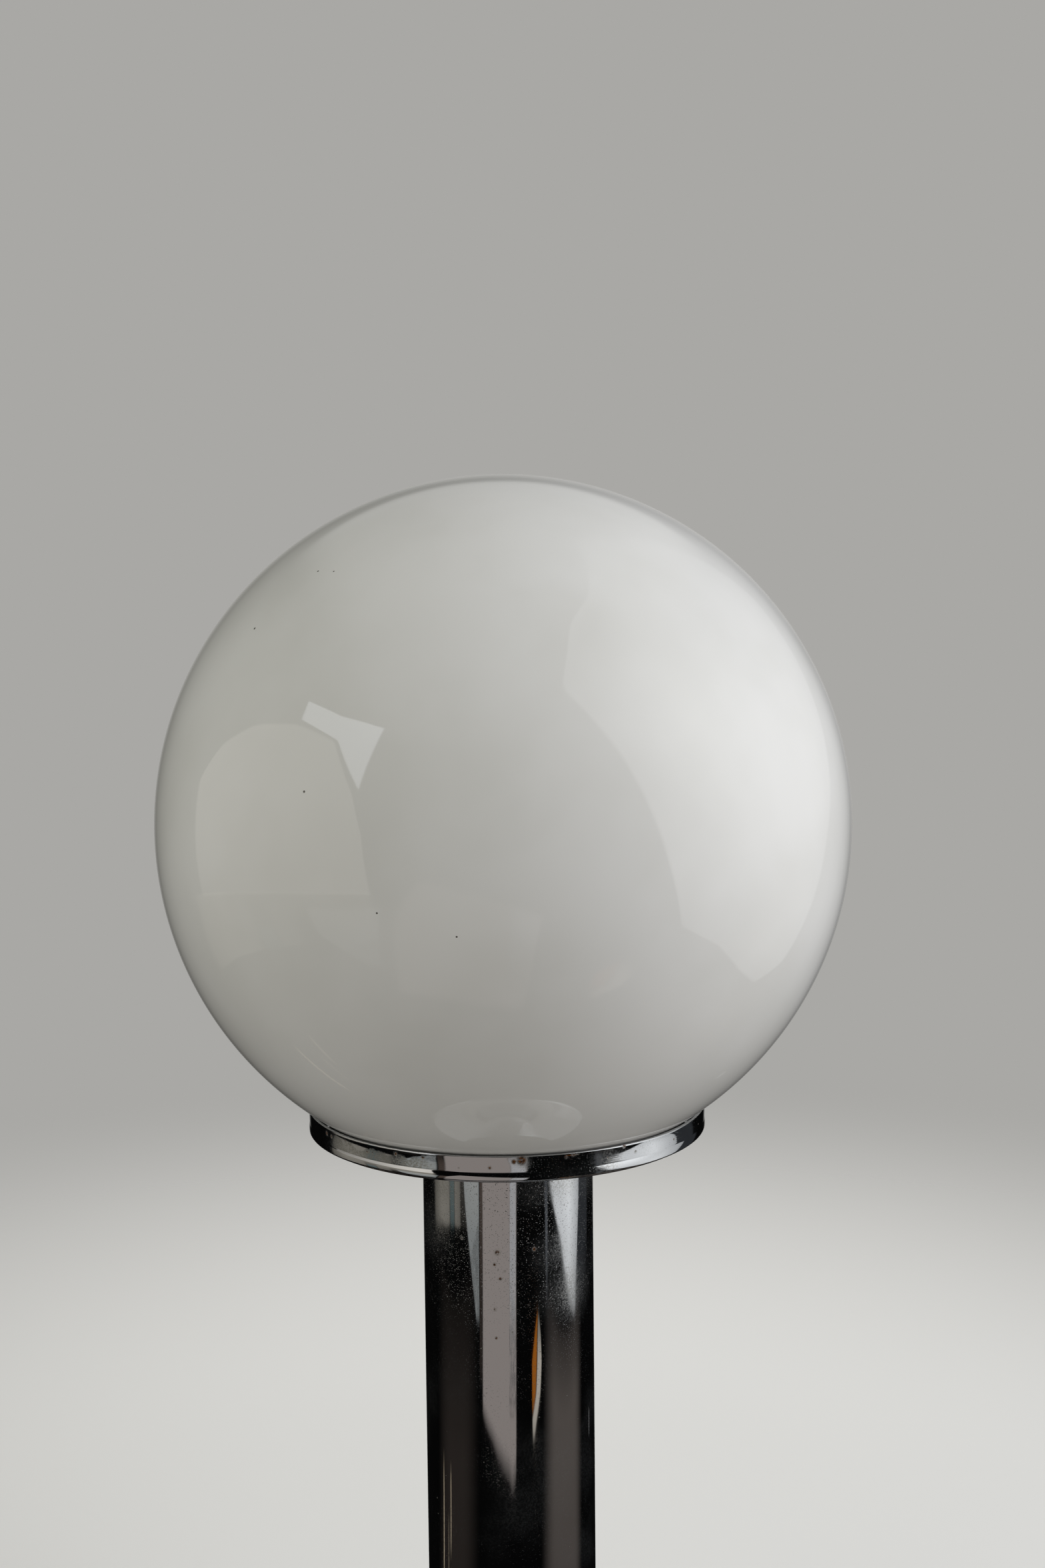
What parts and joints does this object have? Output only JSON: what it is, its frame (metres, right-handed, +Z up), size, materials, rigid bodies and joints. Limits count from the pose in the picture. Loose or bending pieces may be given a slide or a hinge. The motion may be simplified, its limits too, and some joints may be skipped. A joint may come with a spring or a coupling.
{
  "type": "table lamp",
  "caption": "Table lamp with an opal glass globe resting in a slim chromed gallery, on a wide chromed tube stem and a round weighted base.",
  "frame": {"origin": "middle of the sole, on the surface that the lamp stands on", "axes": "+Z up the stem, +Y towards the back, where the cord inlet is"},
  "size_m": [0.25, 0.25, 0.5392],
  "materials": {
    "opal_glass": null,
    "chrome_gallery": "spun steel, chromed, with fine spin lines, pits and rust specks",
    "chrome_tube": "drawn steel tube, chromed, pitted and clouded",
    "chrome_base": "spun steel, chromed",
    "felt": "pressed wool felt",
    "cast_iron": "sand cast, black paint",
    "cast_zinc": "die cast, grey",
    "black_rubber": "moulded, matt",
    "gasket_rubber": "aged brown rubber",
    "zinc_steel": "zinc plated",
    "plain_brass": "turned and pressed, tarnished",
    "phenolic": "moulded black phenolic",
    "porcelain": "glazed white porcelain",
    "solder": "domed solder",
    "black_glass": "fused black glass",
    "bulb_aluminium": "rolled, bright",
    "clear_glass": "clear soda glass",
    "nickel_wire": "drawn nickel wire",
    "tungsten": "drawn tungsten wire, coiled"
  },
  "bodies": {
    "stand": {"felt_pad": "felt", "base_shell": "chrome_base", "ballast": "cast_iron", "cord_grommet": "black_rubber", "bottom_nut": "plain_brass", "bottom_washer": "zinc_steel", "tie_rod": "zinc_steel", "foot_plug": "cast_zinc", "stem_tube": "chrome_tube", "head_plug": "cast_zinc", "gallery_plate": "chrome_gallery", "gallery": "chrome_gallery", "globe_gasket": "gasket_rubber", "gallery_washer": "zinc_steel", "top_nut": "plain_brass", "holder_cap": "phenolic", "lock_screw": "zinc_steel", "holder_skirt": "phenolic", "holder_insert": "porcelain", "terminal_screws": "plain_brass", "screw_shell": "plain_brass", "centre_contact": "plain_brass"},
    "globe": {"globe": "opal_glass"},
    "bulb_tip": {"bulb_contact": "solder"},
    "bulb": {"bulb_insulator": "black_glass", "bulb_cap": "bulb_aluminium", "bulb_glass": "clear_glass", "bulb_stem": "clear_glass", "bulb_wires": "nickel_wire", "bulb_filament": "tungsten"}
  },
  "joints": [
    {"name": "globe_lift", "type": "slide", "parent": "stand", "child": "globe", "axis": [0, 0, 1], "range_m": [0, 0.16]},
    {"name": "bulb_rise", "type": "slide", "parent": "stand", "child": "bulb_tip", "axis": [0, 0, 1], "range_m": [0, 0.0145]},
    {"name": "bulb_turn", "type": "hinge", "parent": "bulb_tip", "child": "bulb", "pos_m": [0, 0, 0.344], "axis": [0, 0, 1], "range_deg": [0, 1440]}
  ],
  "couplings": [
    {"joint": "bulb_rise", "follows": "bulb_turn", "m_per_rad": 0.00057296}
  ]
}
